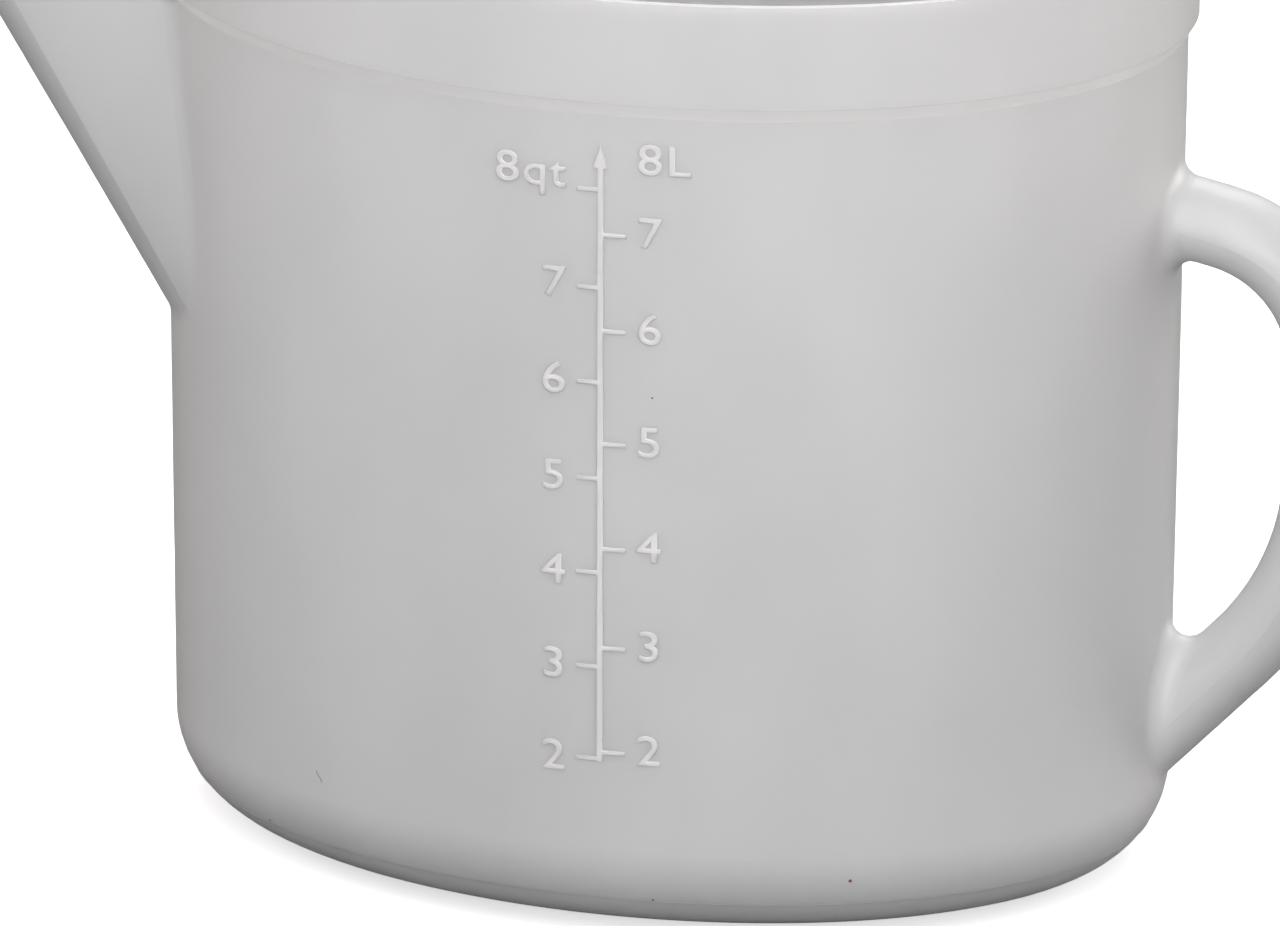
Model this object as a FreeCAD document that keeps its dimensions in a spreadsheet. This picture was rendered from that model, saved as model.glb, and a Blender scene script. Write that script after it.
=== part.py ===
"""Eight-litre measuring pitcher, blow-moulded in one piece.

An oval, open-topped wall with a slight draft stands on a rounded foot.  A raised collar runs
round the mouth, a long wedge-shaped pouring spout grows out of one end, and a hollow tubular
handle closes on itself at the other.  The outside is one form; the cavity is the same form drawn
again, one wall thickness smaller; the pitcher is the first less the second.

Frame: X along the oval from spout (-X) to handle (+X), Y across it, Z up, millimetres.  The
origin is the centre of the foot, on the surface that the pitcher stands on.
"""
import FreeCAD, Part
import Sketcher
import math
import os

# name: (millimetres, degrees or a share of another size, what it is)
SIZES = {
    "rim_height": (265.0, "foot to rim"),
    "oval_half_length": (135.4, "centre to end of the oval, at the collar line"),
    "oval_half_width": (90.5, "centre to side of the oval, at the collar line"),
    "foot_inset": (2.2, "draft: how much smaller the oval is all round at the foot"),
    "foot_radius": (27.0, "outside rounding between wall and base"),
    "wall": (2.0, "wall thickness"),
    "push_up": (1.5, "how far the middle of the base is domed up off the table"),
    "push_up_slope": (9.0, "width of the slope between the standing ring and the raised middle"),
    "standing_ring": (18.0, "width of the flat ring that touches the table"),
    "collar_height": (32.1, "collar line to rim"),
    "collar_step": (2.7, "how far the collar stands proud of the wall"),
    "shoulder_height": (4.2, "height of the collar's sloping underside"),
    "spout_start": (140.3, "height at which the spout leaves the wall"),
    "spout_reach": (77.8, "how far the lip stands out past the end of the oval"),
    "spout_nose": (17.0, "outside radius of the spout's nose at the lip"),
    "spout_slant": (8.0, "degrees between X and each side of the spout, at the lip"),
    "root_nose": (0.89272, "the spout's nose radius where it leaves the wall, over the oval's end radius"),
    "root_slant": (42.0, "degrees between X and each side of the spout, at its root"),
    "spout_depth": (40.0, "how far the spout's wedge runs on inside the oval"),
    "spout_blend": (8.0, "fillet between spout and wall"),
    "handle_thickness": (21.2, "handle tube, across its bend"),
    "handle_width": (25.6, "handle tube, along Y"),
    "handle_reach": (39.2, "end of the oval to the centre line of the grip"),
    "handle_depth": (14.0, "how far the tube's centre line starts inside the end of the oval"),
    "arm_height": (187.6, "height at which the upper arm's centre line starts"),
    "arm_slope": (12.0, "fall of the upper arm, degrees"),
    "arm_bend": (35.4, "centre-line radius between upper arm and grip"),
    "leg_height": (29.3, "height at which the lower leg's centre line starts"),
    "leg_slope": (47.0, "rise of the lower leg, degrees"),
    "leg_bend": (80.0, "centre-line radius between grip and lower leg"),
    "handle_blend": (5.0, "fillet between handle and wall"),
}
SLACK = 1.0  # millimetres of play when edges are picked by where they lie
Vector = FreeCAD.Vector


def make_sheet(doc):
    """The driving dimensions, one row each: the name, the number and what it measures."""
    sheet = doc.addObject("Spreadsheet::Sheet", "Sizes")
    for row, (name, (value, meaning)) in enumerate(SIZES.items(), start=1):
        sheet.set(f"A{row}", name)
        sheet.set(f"B{row}", str(value))
        sheet.set(f"C{row}", meaning)
        sheet.setAlias(f"B{row}", name)
    doc.recompute()
    return sheet


def new_sketch(body, plane, name, height=None):
    """A sketch on one of the body's own origin planes, lifted by the expression `height`."""
    sketch = body.newObject("Sketcher::SketchObject", name)
    support = next(f for f in body.Origin.OriginFeatures if f.Role == plane)
    sketch.AttachmentSupport = [(support, "")]
    sketch.MapMode = "FlatFace"
    if height is not None:
        sketch.setExpression("AttachmentOffset.Base.z", height)
    return sketch


def drive(sketch, name, constraint, expression):
    """Adds a named dimension to a sketch and binds it to the sheet."""
    index = sketch.addConstraint(constraint)
    sketch.renameConstraint(index, name)
    sketch.setExpression(f"Constraints.{name}", expression)


def draw_ellipse(sketch, along, across, along_size, across_size):
    """A full ellipse on the sketch's origin, `along` and `across` being its two full widths."""
    major, minor = Vector(along_size / 2, 0, 0), Vector(0, across_size / 2, 0)
    sketch.addGeometry(Part.Ellipse(major, minor, Vector(0, 0, 0)))
    sketch.exposeInternalGeometry(0)
    sketch.addConstraint(Sketcher.Constraint("Coincident", 0, 3, -1, 1))
    sketch.addConstraint(Sketcher.Constraint("Horizontal", 1))
    drive(sketch, "along", Sketcher.Constraint("Distance", 1, along_size), along)
    drive(sketch, "across", Sketcher.Constraint("Distance", 2, across_size), across)


def oval_sketch(body, sheet, name, height, margin):
    """The pitcher's oval at a height, wider all round by the expression `margin`."""
    sketch = new_sketch(body, "XY_Plane", name, height)
    draw_ellipse(sketch, f"2 * (Sizes.oval_half_length + {margin})",
                 f"2 * (Sizes.oval_half_width + {margin})",
                 2 * sheet.oval_half_length, 2 * sheet.oval_half_width)
    return sketch


def wedge_sketch(body, sheet, name, height, reach, nose, slant):
    """The spout's outline at a height: a round nose and two straight sides, closed inside the oval.

    `reach` (centre to nose), `nose` (its radius) and `slant` are expressions and their values."""
    sketch = new_sketch(body, "XY_Plane", name, height)
    radius, angle = nose[1], math.radians(slant[1])
    centre_x = radius - reach[1]
    back = sheet.spout_depth - sheet.oval_half_length
    touch = Vector(centre_x - radius * math.sin(angle), radius * math.cos(angle), 0)
    corner = Vector(back, touch.y + (back - touch.x) * math.tan(angle), 0)
    far_touch, far_corner = Vector(touch.x, -touch.y, 0), Vector(corner.x, -corner.y, 0)
    sketch.addGeometry([
        Part.LineSegment(touch, corner),
        Part.ArcOfCircle(Part.Circle(Vector(centre_x, 0, 0), Vector(0, 0, 1), radius),
                         math.pi / 2 + angle, 3 * math.pi / 2 - angle),
        Part.LineSegment(far_touch, far_corner),
        Part.LineSegment(far_corner, corner),
    ])
    for rule in (("Tangent", 0, 1, 1, 1), ("Tangent", 1, 2, 2, 1), ("Coincident", 2, 2, 3, 1),
                 ("Coincident", 3, 2, 0, 2), ("PointOnObject", 1, 3, -1), ("Symmetric", 0, 2, 2, 2, -1)):
        sketch.addConstraint(Sketcher.Constraint(*rule))
    drive(sketch, "nose", Sketcher.Constraint("Radius", 1, radius), nose[0])
    drive(sketch, "slant", Sketcher.Constraint("Angle", 0, angle), slant[0])
    drive(sketch, "centre", Sketcher.Constraint("DistanceX", 1, 3, -1, 1, -centre_x),
          f"{reach[0]} - {nose[0]}")
    drive(sketch, "back", Sketcher.Constraint("DistanceX", 0, 2, -1, 1, -back),
          "Sizes.oval_half_length - Sizes.spout_depth")
    return sketch


def handle_path(body, sheet):
    """Centre line of the handle in the XZ plane: arm, bend, upright grip, wide bend, leg."""
    sketch = new_sketch(body, "XZ_Plane", "HandlePath")
    start = sheet.oval_half_length - sheet.handle_depth
    grip = sheet.oval_half_length + sheet.handle_reach
    fall, rise = math.radians(sheet.arm_slope), math.radians(sheet.leg_slope)
    top, low = sheet.arm_bend, sheet.leg_bend
    arm_end_x = grip - top * (1 - math.sin(fall))
    arm_end = Vector(arm_end_x, sheet.arm_height - (arm_end_x - start) * math.tan(fall), 0)
    top_centre = Vector(grip - top, arm_end.y - top * math.cos(fall), 0)
    leg_end_x = grip - low * (1 - math.sin(rise))
    leg_end = Vector(leg_end_x, sheet.leg_height + (leg_end_x - start) * math.tan(rise), 0)
    low_centre = Vector(grip - low, leg_end.y + low * math.cos(rise), 0)
    axis = Vector(0, 0, 1)
    sketch.addGeometry([
        Part.LineSegment(Vector(start, sheet.arm_height, 0), arm_end),
        Part.ArcOfCircle(Part.Circle(top_centre, axis, top), 0, math.pi / 2 - fall),
        Part.LineSegment(Vector(grip, top_centre.y, 0), Vector(grip, low_centre.y, 0)),
        Part.ArcOfCircle(Part.Circle(low_centre, axis, low), rise - math.pi / 2, 0),
        Part.LineSegment(Vector(start, sheet.leg_height, 0), leg_end),
    ])
    for rule in (("Tangent", 0, 2, 1, 2), ("Tangent", 1, 1, 2, 1), ("Tangent", 2, 2, 3, 2),
                 ("Tangent", 3, 1, 4, 2), ("Vertical", 2)):
        sketch.addConstraint(Sketcher.Constraint(*rule))
    drive(sketch, "top", Sketcher.Constraint("Radius", 1, top), "Sizes.arm_bend")
    drive(sketch, "low", Sketcher.Constraint("Radius", 3, low), "Sizes.leg_bend")
    drive(sketch, "fall", Sketcher.Constraint("Angle", 0, -fall), "-Sizes.arm_slope")
    drive(sketch, "rise", Sketcher.Constraint("Angle", 4, rise), "Sizes.leg_slope")
    drive(sketch, "grip", Sketcher.Constraint("DistanceX", -1, 1, 2, 1, grip),
          "Sizes.oval_half_length + Sizes.handle_reach")
    for name, line, height in (("arm", 0, sheet.arm_height), ("leg", 4, sheet.leg_height)):
        drive(sketch, f"{name}_start", Sketcher.Constraint("DistanceX", -1, 1, line, 1, start),
              "Sizes.oval_half_length - Sizes.handle_depth")
        drive(sketch, f"{name}_height", Sketcher.Constraint("DistanceY", -1, 1, line, 1, height),
              f"Sizes.{name}_height")
    return sketch


def handle_section(body, sheet, path, inset):
    """The oval section of the handle tube, square to the path at its upper end."""
    sketch = body.newObject("Sketcher::SketchObject", "HandleSection")
    sketch.AttachmentSupport = [(path, "Edge1"), (path, "Vertex1")]
    sketch.MapMode = "NormalToEdge"
    draw_ellipse(sketch, f"Sizes.handle_width - 2 * {inset}", f"Sizes.handle_thickness - 2 * {inset}",
                 sheet.handle_width, sheet.handle_thickness)
    return sketch


def add_loft(body, name, sketches, kind="Additive"):
    """A straight-sided loft; drawn from the rim down, which gives faces that can be filleted."""
    loft = body.newObject(f"PartDesign::{kind}Loft", name)
    loft.Profile = sketches[0]
    loft.Sections = sketches[1:]
    loft.Ruled = True
    loft.Refine = False
    body.Document.recompute()
    return loft


def add_fillet(body, name, base, chosen, radius):
    """Rounds the edges of `base` whose bounding boxes pass the test `chosen`."""
    edges = [f"Edge{i}" for i, edge in enumerate(base.Shape.Edges, start=1) if chosen(edge.BoundBox)]
    fillet = body.newObject("PartDesign::Fillet", name)
    fillet.Base = (base, edges)
    fillet.Refine = False
    fillet.setExpression("Radius", radius)
    body.Document.recompute()
    return fillet


def add_wall(body, sheet, inset, floor):
    """Oval wall with its draft, and the collar with its sloping shoulder; rounded at the foot."""
    collar_line = "Sizes.rim_height - Sizes.collar_height"
    wall = add_loft(body, "Wall", [
        oval_sketch(body, sheet, "Rim", "Sizes.rim_height", f"(Sizes.collar_step - {inset})"),
        oval_sketch(body, sheet, "CollarEdge", f"{collar_line} + Sizes.shoulder_height",
                    f"(Sizes.collar_step - {inset})"),
        oval_sketch(body, sheet, "CollarLine", collar_line, f"(-{inset})"),
        oval_sketch(body, sheet, "FootOval", floor, f"(-Sizes.foot_inset - {inset})"),
    ])
    return add_fillet(body, "FootRound", wall, lambda box: box.ZMax < sheet.foot_radius / 2,
                      f"Sizes.foot_radius - {inset}")


def add_spout(body, sheet, inset):
    """The spout: a wedge that opens from nothing at its root to the long lip at the rim."""
    collar_line = sheet.rim_height - sheet.collar_height
    root_end = sheet.oval_half_length - sheet.foot_inset * (1 - sheet.spout_start / collar_line)
    root_nose = sheet.root_nose * sheet.oval_half_width ** 2 / sheet.oval_half_length
    lip_end = sheet.oval_half_length + sheet.spout_reach
    spout = add_loft(body, "Spout", [
        wedge_sketch(body, sheet, "SpoutLip", "Sizes.rim_height",
                     (f"Sizes.oval_half_length + Sizes.spout_reach - {inset}", lip_end),
                     (f"Sizes.spout_nose - {inset}", sheet.spout_nose),
                     ("Sizes.spout_slant", sheet.spout_slant)),
        wedge_sketch(body, sheet, "SpoutRoot", "Sizes.spout_start",
                     ("Sizes.oval_half_length - Sizes.foot_inset * (1 - Sizes.spout_start"
                      f" / (Sizes.rim_height - Sizes.collar_height)) - {inset}", root_end),
                     ("Sizes.root_nose * Sizes.oval_half_width ^ 2 / Sizes.oval_half_length"
                      f" - {inset}", root_nose),
                     ("Sizes.root_slant", sheet.root_slant)),
    ])
    crease = -sheet.oval_half_length
    return add_fillet(body, "SpoutBlend", spout,
                      lambda box: (crease < box.XMin and box.XMax < crease + root_nose / 2
                                   and box.ZMin > sheet.spout_start - SLACK), "Sizes.spout_blend")


def add_handle(body, sheet, inset):
    """The handle's tube, swept along its centre line, with both ends rounded into the wall."""
    path = handle_path(body, sheet)
    body.Document.recompute()
    pipe = body.newObject("PartDesign::AdditivePipe", "Handle")
    pipe.Profile = handle_section(body, sheet, path, inset)
    pipe.Spine = path
    pipe.Refine = False
    body.Document.recompute()
    end = sheet.oval_half_length
    return add_fillet(body, "HandleBlend", pipe,
                      lambda box: (box.XMin > end - sheet.handle_blend and box.XMax < end + SLACK
                                   and box.YLength > sheet.handle_blend
                                   and box.ZMin > sheet.foot_radius / 2
                                   and box.ZLength < 3 * sheet.handle_thickness), "Sizes.handle_blend")


def raise_base(body, sheet):
    """Domes the middle of the base up, so that only a ring round it touches the table."""
    ring = "(-Sizes.foot_inset - Sizes.foot_radius - Sizes.standing_ring)"
    return add_loft(body, "PushUp", [
        oval_sketch(body, sheet, "DomeTop", "Sizes.push_up", f"({ring} - Sizes.push_up_slope)"),
        oval_sketch(body, sheet, "DomeFoot", "0", ring),
    ], "Subtractive")


def make_form(doc, sheet, name, inset, floor):
    """The whole form, smaller all round by the expression `inset`, standing on `floor`."""
    body = doc.addObject("PartDesign::Body", name)
    add_wall(body, sheet, inset, floor)
    add_spout(body, sheet, inset)
    add_handle(body, sheet, inset)
    return body


def check(doc):
    """Stops the build if any object failed or any solid is broken."""
    for item in doc.Objects:
        if "Invalid" in item.State or "Error" in item.State:
            raise RuntimeError(f"{item.Name}: {item.State}")
    for item in doc.Objects:
        if item.isDerivedFrom("PartDesign::Feature") or item.isDerivedFrom("Part::Boolean"):
            if item.Shape.isNull() or not item.Shape.isValid():
                raise RuntimeError(f"{item.Name}: no valid shape")


doc = FreeCAD.newDocument("Pitcher")
sheet = make_sheet(doc)
outside = make_form(doc, sheet, "Outside", "0", "0")
raise_base(outside, sheet)
cavity = make_form(doc, sheet, "Cavity", "Sizes.wall", "Sizes.push_up + Sizes.wall")
pitcher = doc.addObject("Part::Cut", "Pitcher")
pitcher.Label = "pitcher"
pitcher.Base = outside
pitcher.Tool = cavity
pitcher.Refine = False
doc.recompute()
check(doc)
os.makedirs("parts", exist_ok=True)
pitcher.Shape.exportStep("parts/pitcher.step")
print(f"pitcher: {pitcher.Shape.Volume / 1000:.1f} cm3 of plastic, {len(pitcher.Shape.Solids)} solid")
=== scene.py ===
import math
import random

import bmesh
import bpy
from mathutils import Matrix, Vector
from mathutils.bvhtree import BVHTree


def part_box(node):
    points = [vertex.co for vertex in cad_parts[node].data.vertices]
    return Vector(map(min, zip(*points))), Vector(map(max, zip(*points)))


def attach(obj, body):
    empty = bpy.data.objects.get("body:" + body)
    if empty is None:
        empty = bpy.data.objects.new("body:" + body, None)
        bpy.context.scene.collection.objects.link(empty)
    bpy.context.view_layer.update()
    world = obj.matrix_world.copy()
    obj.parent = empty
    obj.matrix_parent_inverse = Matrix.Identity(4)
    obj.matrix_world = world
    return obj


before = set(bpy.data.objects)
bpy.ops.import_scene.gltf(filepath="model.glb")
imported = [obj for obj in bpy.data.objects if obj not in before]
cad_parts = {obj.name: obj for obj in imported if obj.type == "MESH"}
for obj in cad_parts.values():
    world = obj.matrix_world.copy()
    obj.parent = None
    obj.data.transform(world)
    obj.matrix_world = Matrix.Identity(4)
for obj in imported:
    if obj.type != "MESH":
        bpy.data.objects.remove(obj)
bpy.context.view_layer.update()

# The viewpoint.  A long lens from well back, a little to the spout's side of square on and looking
# down at about twenty-two degrees, so that the pitcher fills the view from side to side and the
# lip, the rim's far ends and the back of the handle run out of it.
camera = bpy.data.objects.new("camera", bpy.data.cameras.new("camera"))
bpy.context.collection.objects.link(camera)
bpy.context.scene.camera = camera
camera.data.sensor_width = 36.0
camera.data.lens = 505.66
azimuth, elevation, roll = math.radians(13.36), math.radians(21.78), math.radians(0.30)
look_at, distance = Vector((-0.0089, 0.0, 0.1008)), 4.7366
back = Vector((math.sin(azimuth) * math.cos(elevation), -math.cos(azimuth) * math.cos(elevation),
               math.sin(elevation)))
across = Vector((math.cos(azimuth), math.sin(azimuth), 0.0))
upward = back.cross(across)
turn = Matrix.Rotation(roll, 3, back)
camera.matrix_world = (Matrix.Translation(look_at + back * distance)
                       @ Matrix((turn @ across, turn @ upward, back)).transposed().to_4x4())


# The pitcher's plastic: natural high-density polyethylene, blow-moulded, with no pigment.  Thin
# walls of it are milky and let some light through, and the mould leaves a satin skin with a faint
# orange-peel and slow waves of thicker and thinner wall.
def linear(hex_colour, alpha=1.0):
    """An sRGB hex colour as the linear values that the shader takes."""
    parts = [int(hex_colour[i:i + 2], 16) / 255 for i in (1, 3, 5)]
    curve = [c / 12.92 if c <= 0.04045 else ((c + 0.055) / 1.055) ** 2.4 for c in parts]
    return (*curve, alpha)


def add_node(tree, kind, settings=None, values=None, links=None):
    """Adds one node; `links` maps its inputs to (node, output) pairs."""
    node = tree.nodes.new(kind)
    for name, value in (settings or {}).items():
        setattr(node, name, value)
    for name, value in (values or {}).items():
        node.inputs[name].default_value = value
    for name, (source, output) in (links or {}).items():
        tree.links.new(source.outputs[output], node.inputs[name])
    return node


hdpe = bpy.data.materials.new("natural_blow_moulded_hdpe")
hdpe.use_nodes = True
tree = hdpe.node_tree
skin = tree.nodes["Principled BSDF"]
skin.inputs["IOR"].default_value = 1.54
skin.inputs["Roughness"].default_value = 0.42
skin.subsurface_method = "BURLEY"
skin.inputs["Subsurface Weight"].default_value = 0.7
skin.inputs["Subsurface Radius"].default_value = (1.0, 0.95, 0.9)
skin.inputs["Subsurface Scale"].default_value = 0.005
place = add_node(tree, "ShaderNodeTexCoord")
# Waves of wall thickness about 45 mm apart, a little stretched up the wall as the parison was.
stretch = add_node(tree, "ShaderNodeMapping", values={"Scale": (1.0, 1.0, 0.6)},
                   links={"Vector": (place, "Object")})
waves = add_node(tree, "ShaderNodeTexNoise", links={"Vector": (stretch, "Vector")},
                 values={"Scale": 1 / 0.045, "Detail": 2.0, "Roughness": 0.5})
tint = add_node(tree, "ShaderNodeValToRGB", links={"Fac": (waves, "Fac")})
tint.color_ramp.elements[0].position, tint.color_ramp.elements[0].color = 0.3, linear("#CDCECF")
tint.color_ramp.elements[1].position, tint.color_ramp.elements[1].color = 0.7, linear("#D3D4D5")
# The slope under the collar is painted a whiter base than the wall: painted light that lifts the
# shade the slope takes as it faces down, so that it shades as softly as milky plastic does there.
# The paint covers the slope's height alone, inside and outside.
collar_span = (0.2319, 0.2399)
# Where up the slope the painted light lies, and how much of it.
painted_collar_light = ((0.0, 0.0), (0.10, 0.0), (0.17, 0.95), (0.60, 1.0), (0.67, 0.0))
axes = add_node(tree, "ShaderNodeSeparateXYZ", links={"Vector": (place, "Object")})
step = add_node(tree, "ShaderNodeMapRange", values=dict(zip(("From Min", "From Max"), collar_span)),
                links={"Value": (axes, "Z")})
painted_light_ramp = add_node(tree, "ShaderNodeValToRGB", links={"Fac": (step, "Result")})
while len(painted_light_ramp.color_ramp.elements) < len(painted_collar_light):
    painted_light_ramp.color_ramp.elements.new(0.5)
for stop, (where, share) in zip(painted_light_ramp.color_ramp.elements, painted_collar_light):
    stop.position, stop.color = where, (share, share, share, 1.0)
# Mixes the painted light of the collar slope into the wall's colour.
painted_light_mix = add_node(tree, "ShaderNodeMix", settings={"data_type": "RGBA"})
base_in, painted_light_in = [socket for socket in painted_light_mix.inputs if socket.type == "RGBA"]
# The whiter base of the collar slope: painted light, not a colour of the plastic.
painted_light_in.default_value = linear("#EDEDEE")
tree.links.new(painted_light_ramp.outputs["Color"], painted_light_mix.inputs["Factor"])
tree.links.new(tint.outputs["Color"], base_in)
tree.links.new(next(out for out in painted_light_mix.outputs if out.type == "RGBA"), skin.inputs["Base Color"])
# Orange-peel from the mould, about a millimetre from lump to lump in life, drawn at 2.2 mm so
# that it shows.
peel = add_node(tree, "ShaderNodeTexNoise", values={"Scale": 1 / 0.0022, "Detail": 1.0},
                links={"Vector": (place, "Object")})
slow = add_node(tree, "ShaderNodeBump", values={"Strength": 0.25, "Distance": 0.0006},
                links={"Height": (waves, "Fac")})
fine = add_node(tree, "ShaderNodeBump", values={"Strength": 0.10, "Distance": 0.00008},
                links={"Height": (peel, "Fac"), "Normal": (slow, "Normal")})
tree.links.new(fine.outputs["Normal"], skin.inputs["Normal"])

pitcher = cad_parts["pitcher"]
pitcher.data.materials.clear()
pitcher.data.materials.append(hdpe)


# The raised scale down the middle of the front: a rounded rib with an arrow head at its top, short
# ribs for quarts on its left and litres on its right, and plain figures.  The mould gives it a
# low, soft-edged relief in the same plastic, which looks whiter here because it is thicker.
raised_hdpe = hdpe.copy()
raised_hdpe.name = "thicker_natural_hdpe"
raised_tints = raised_hdpe.node_tree.nodes["Color Ramp"].color_ramp.elements
for stop, colour in zip(raised_tints, ("#F6F4F4", "#FBF9F9")):
    stop.color = linear(colour)
shell = BVHTree.FromObject(pitcher, bpy.context.evaluated_depsgraph_get())
relief, relief_edge = 0.00036, 0.00032
rib_x, rib_width = 0.00175, 0.0016
rib_low, arrow_base, arrow_tip, arrow_width = 0.0526, 0.2182, 0.2247, 0.0042
# label: (height of the rib, how much higher the middle of its label stands)
quarts = {"8qt": (0.2123, 0.0042), "7": (0.1852, 0.0010), "6": (0.1589, 0.0006),
          "5": (0.1321, 0.0004), "4": (0.1058, 0.0004), "3": (0.0794, 0.0004), "2": (0.0535, 0.0003)}
litres = {"7": (0.1999, 0.0016), "6": (0.1733, 0.0016), "5": (0.1419, 0.0016),
          "4": (0.1126, 0.0016), "3": (0.0848, 0.0016), "2": (0.0554, 0.0016)}
top_label = {"8L": (arrow_tip, -0.0030)}
quart_tick, litre_tick, tick_width = 0.0055, 0.0060, 0.0012
figure_height, figure_gap, figure_stretch, figure_shrink = 0.0087, 0.0027, 1.15, 0.65
capital_height = 0.729  # of the type's own size
before_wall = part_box("pitcher")[0][1] * 1.5


def on_wall(x, height, lift):
    """The point `lift` proud of the front wall at this place along it and up it."""
    spot, normal, _, _ = shell.ray_cast(Vector((x, before_wall, height)), Vector((0.0, 1.0, 0.0)))
    return spot + (normal if normal.y < 0 else -normal) * lift


def lay_on_wall(curve, target, place=(0.0, 0.0), stretch=1.0, shrink=1.0):
    """Turns a flat bevelled curve into mesh and bends it on to the wall, adding it to `target`."""
    curve.extrude, curve.bevel_depth, curve.bevel_resolution = relief - relief_edge, relief_edge, 3
    curve.offset = -relief_edge * shrink
    holder = bpy.data.objects.new("holder", curve)
    bpy.context.collection.objects.link(holder)
    bpy.context.view_layer.update()
    laid_flat = holder.evaluated_get(bpy.context.evaluated_depsgraph_get())
    mesh = bpy.data.meshes.new_from_object(laid_flat)
    for vertex in mesh.vertices:
        flat = vertex.co
        vertex.co = on_wall(place[0] + flat.x * stretch, place[1] + flat.y, flat.z)
    target.from_mesh(mesh)
    bpy.data.objects.remove(holder)
    bpy.data.meshes.remove(mesh)


def outline(corners):
    """A flat filled curve with these (x, height) corners."""
    curve = bpy.data.curves.new("outline", "CURVE")
    curve.dimensions, curve.fill_mode = "2D", "BOTH"
    spline = curve.splines.new("POLY")
    spline.points.add(len(corners) - 1)
    for point, (x, height) in zip(spline.points, corners):
        point.co = (x, height, 0.0, 1.0)
    spline.use_cyclic_u = True
    return curve


def figures(text, align):
    """Moulded figures in a plain upright type."""
    curve = bpy.data.curves.new("figures", "FONT")
    curve.body, curve.align_x = text, align
    curve.size = figure_height / capital_height
    curve.space_character = 1.08
    return curve


scale_mesh = bmesh.new()
half = rib_width / 2
comb = []
for side, length, marks in ((1, litre_tick, litres), (-1, quart_tick, quarts)):
    face, tooth = rib_x + side * half, rib_x + side * (half + length)
    edge_up = [(face, rib_low)]
    for height in sorted(height for height, _ in marks.values()):
        low, high = max(height - tick_width / 2, rib_low), height + tick_width / 2
        edge_up += [(face, low), (tooth, low), (tooth, high), (face, high)]
    edge_up += [(face, arrow_base), (rib_x + side * arrow_width / 2, arrow_base)]
    comb += edge_up + [(rib_x, arrow_tip)] if side > 0 else edge_up[::-1]
lay_on_wall(outline([corner for k, corner in enumerate(comb) if corner != comb[k - 1]]), scale_mesh)
for side, length, align, marks in ((-1, quart_tick, "RIGHT", quarts),
                                   (1, litre_tick, "LEFT", {**litres, **top_label})):
    edge = rib_x + side * (half + length + figure_gap)
    for text, (height, raised) in marks.items():
        lay_on_wall(figures(text, align), scale_mesh, (edge, height + raised - figure_height / 2),
                    figure_stretch, figure_shrink)
mesh = bpy.data.meshes.new("raised_scale")
scale_mesh.to_mesh(mesh)
scale_mesh.free()
mesh.polygons.foreach_set("use_smooth", [True] * len(mesh.polygons))
mesh.set_sharp_from_angle(angle=math.radians(50))
raised_scale = bpy.data.objects.new("raised_scale", mesh)
bpy.context.collection.objects.link(raised_scale)
raised_scale.data.materials.append(raised_hdpe)
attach(raised_scale, "root")


# The line where the mould's base plug met its two halves: a hair-fine ridge that runs right round
# the rounding of the foot, part of the same plastic.
foot_line_height, foot_line_radius, sunk = 0.0125, 0.00030, 0.35
half_width, half_length, clear_of_wall, turns = 0.0883, 0.1332, 0.03, 180
foot_line = bpy.data.curves.new("foot_line", "CURVE")
foot_line.dimensions = "3D"
foot_line.bevel_depth, foot_line.bevel_resolution = foot_line_radius, 2
spline = foot_line.splines.new("NURBS")
ring = []
for k in range(turns):
    angle = 2 * math.pi * k / turns
    out = Vector((math.cos(angle) * half_width, math.sin(angle) * half_length, 0.0)).normalized()
    start = Vector((half_length * math.cos(angle), half_width * math.sin(angle), foot_line_height))
    spot, _, _, _ = shell.ray_cast(start + out * clear_of_wall, -out)
    ring.append(spot - out * foot_line_radius * sunk)
spline.points.add(len(ring) - 1)
for point, spot in zip(spline.points, ring):
    point.co = (*spot, 1.0)
spline.use_cyclic_u = True
spline.order_u = 4
base_line = bpy.data.objects.new("base_mould_line", foot_line)
bpy.context.collection.objects.link(base_line)
base_line.data.materials.append(hdpe)
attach(base_line, "root")


# Specks and one short fibre caught in the skin of the plastic: bits of grit and darker resin, each
# a flattened, uneven grain well under a millimetre across, sunk to half its thickness.
specks = {(0.0660, 0.0204): (0.00050, "#8E5B52"), (0.0151, 0.0130): (0.00036, "#5E5A58"),
          (0.0154, 0.1557): (0.00030, "#6E6A68"), (0.0022, 0.0588): (0.00045, "#B98F86"),
          (-0.0947, 0.0137): (0.00040, "#A19C9A")}
grain_roughness, grain_flatness = 0.18, 0.3
fibre_points = ((-0.0786, 0.0350), (-0.0783, 0.0340), (-0.0776, 0.0333), (-0.0770, 0.0327),
                (-0.0771, 0.0320))
fibre_radius = 0.00009


def grit_material(name, colour):
    """Matt grit or fibre of one colour."""
    grit = bpy.data.materials.new(name)
    grit.use_nodes = True
    face = grit.node_tree.nodes["Principled BSDF"]
    face.inputs["Roughness"].default_value = 0.6
    spots = add_node(grit.node_tree, "ShaderNodeTexNoise", values={"Scale": 1 / 0.0003})
    mottle = add_node(grit.node_tree, "ShaderNodeMapRange", values={"To Min": 0.8, "To Max": 1.1},
                      links={"Value": (spots, "Fac")})
    shade = add_node(grit.node_tree, "ShaderNodeVectorMath", settings={"operation": "SCALE"},
                     links={"Scale": (mottle, "Result")})
    shade.inputs[0].default_value = linear(colour)[:3]
    grit.node_tree.links.new(shade.outputs["Vector"], face.inputs["Base Color"])
    return grit


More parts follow.
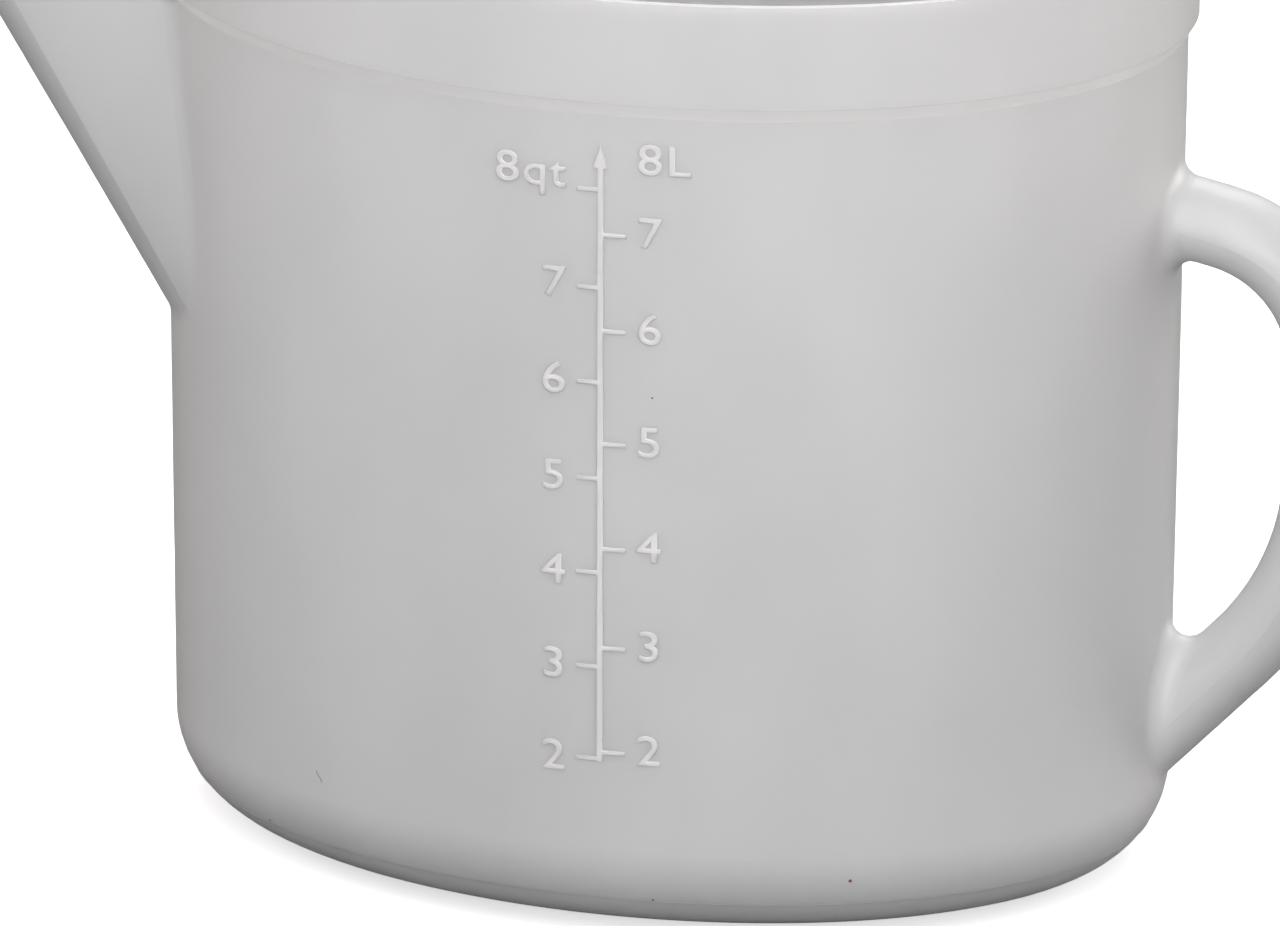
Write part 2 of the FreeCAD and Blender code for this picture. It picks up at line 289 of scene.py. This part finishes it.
uneven = random.Random(8)
for number, ((x, height), (radius, colour)) in enumerate(specks.items(), start=1):
    grain = bmesh.new()
    bmesh.ops.create_icosphere(grain, subdivisions=2, radius=radius)
    for vertex in grain.verts:
        vertex.co *= 1 + uneven.uniform(-grain_roughness, grain_roughness)
        vertex.co.y *= grain_flatness
    mesh = bpy.data.meshes.new(f"speck_{number}")
    grain.to_mesh(mesh)
    grain.free()
    speck = bpy.data.objects.new(f"speck_{number}", mesh)
    bpy.context.collection.objects.link(speck)
    spot = on_wall(x, height, 0.0)
    facing = (on_wall(x, height, 1.0) - spot).to_track_quat("-Y", "Z").to_matrix().to_4x4()
    mesh.transform(Matrix.Translation(spot) @ facing)
    mesh.materials.append(grit_material(f"speck_{number}_grit", colour))
    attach(speck, "root")
fibre_line = bpy.data.curves.new("caught_fibre", "CURVE")
fibre_line.dimensions, fibre_line.bevel_depth, fibre_line.bevel_resolution = "3D", fibre_radius, 2
spline = fibre_line.splines.new("NURBS")
spline.points.add(len(fibre_points) - 1)
for point, (x, height) in zip(spline.points, fibre_points):
    point.co = (*on_wall(x, height, fibre_radius / 2), 1.0)
spline.order_u, spline.use_endpoint_u = 3, True
fibre = bpy.data.objects.new("caught_fibre", fibre_line)
bpy.context.collection.objects.link(fibre)
fibre_line.materials.append(grit_material("fibre_grit", "#8F8A88"))
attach(fibre, "root")


# The table: a plain, pale, matt sheet that runs on behind the pitcher.  It throws back less light
# than it shows, as a sheet with dark flags round it does, so the foot keeps its shade.  It shows
# some light of its own, so the shadow on it stays faint.
floor_reach = 12.0
floor_mesh = bpy.data.meshes.new("floor")
floor_corners = [(x * floor_reach, y * floor_reach, 0) for x, y in ((-1, -1), (1, -1), (1, 1), (-1, 1))]
floor_mesh.from_pydata(floor_corners, [], [(0, 1, 2, 3)])
floor = bpy.data.objects.new("floor", floor_mesh)
bpy.context.collection.objects.link(floor)
paper = bpy.data.materials.new("matt_white_paper")
paper.use_nodes = True
sheet = paper.node_tree.nodes["Principled BSDF"]
sheet.inputs["Roughness"].default_value = 0.9
ray = add_node(paper.node_tree, "ShaderNodeLightPath")
shown = add_node(paper.node_tree, "ShaderNodeMix", settings={"data_type": "RGBA"},
                 links={"Factor": (ray, "Is Camera Ray")})
thrown_back, seen = [socket for socket in shown.inputs if socket.type == "RGBA"]
thrown_back.default_value, seen.default_value = linear("#6E6E6E"), linear("#FFFFFF")
shade = next(socket for socket in shown.outputs if socket.type == "RGBA")
paper.node_tree.links.new(shade, sheet.inputs["Base Color"])
glow = add_node(paper.node_tree, "ShaderNodeMath", settings={"operation": "MULTIPLY"},
                links={0: (ray, "Is Camera Ray")})
own_light = 0.55
glow.inputs[1].default_value = own_light
sheet.inputs["Emission Color"].default_value = linear("#FFFFFF")
paper.node_tree.links.new(glow.outputs["Value"], sheet.inputs["Emission Strength"])
floor.data.materials.append(paper)


# Soft studio light: a dim pale room all round, a key lamp close above and in front, a broad fill
# from the front that is a shade cool with a lower one under it, fills at both ends, a lamp behind
# for the mouth and one behind the handle for its edges.
world = bpy.data.worlds.new("studio")
bpy.context.scene.world = world
bpy.context.scene.view_settings.view_transform = "Standard"
world.use_nodes = True
room = world.node_tree.nodes["Background"]
room.inputs["Color"].default_value = linear("#FFF9F6")
room.inputs["Strength"].default_value = 0.345


def softbox(name, position, size, power, colour="#FFFFFF", aim=(0.0, 0.0, 0.13)):
    """A large square lamp pointed at the pitcher."""
    lamp = bpy.data.lights.new(name, "AREA")
    lamp.shape, lamp.size, lamp.energy = "SQUARE", size, power
    lamp.color = linear(colour)[:3]
    holder = bpy.data.objects.new(name, lamp)
    bpy.context.collection.objects.link(holder)
    holder.location = position
    holder.rotation_euler = (Vector(aim) - Vector(position)).to_track_quat("-Z", "Y").to_euler()


softbox("key_softbox", (0.15, -0.65, 1.15), 0.9, 6.15, "#FFFDFC")
softbox("front_fill", (0.6, -2.4, 0.9), 1.2, 18.9, "#FCFCFF")
softbox("low_front_fill", (0.3, -2.4, 0.35), 1.0, 8.5, "#F6F8FF")
softbox("left_fill", (-2.2, 0.3, 0.9), 1.0, 12.4, "#FFFAF6")
softbox("back_softbox", (0.0, 1.7, 1.6), 1.2, 18.0, "#FEFEFF")
softbox("handle_rim_light", (1.6, 1.3, 0.5), 1.0, 15.6, "#FFFEFC")
softbox("low_right_fill", (2.0, -0.3, 0.3), 0.8, 2.8, "#FFF5ED")
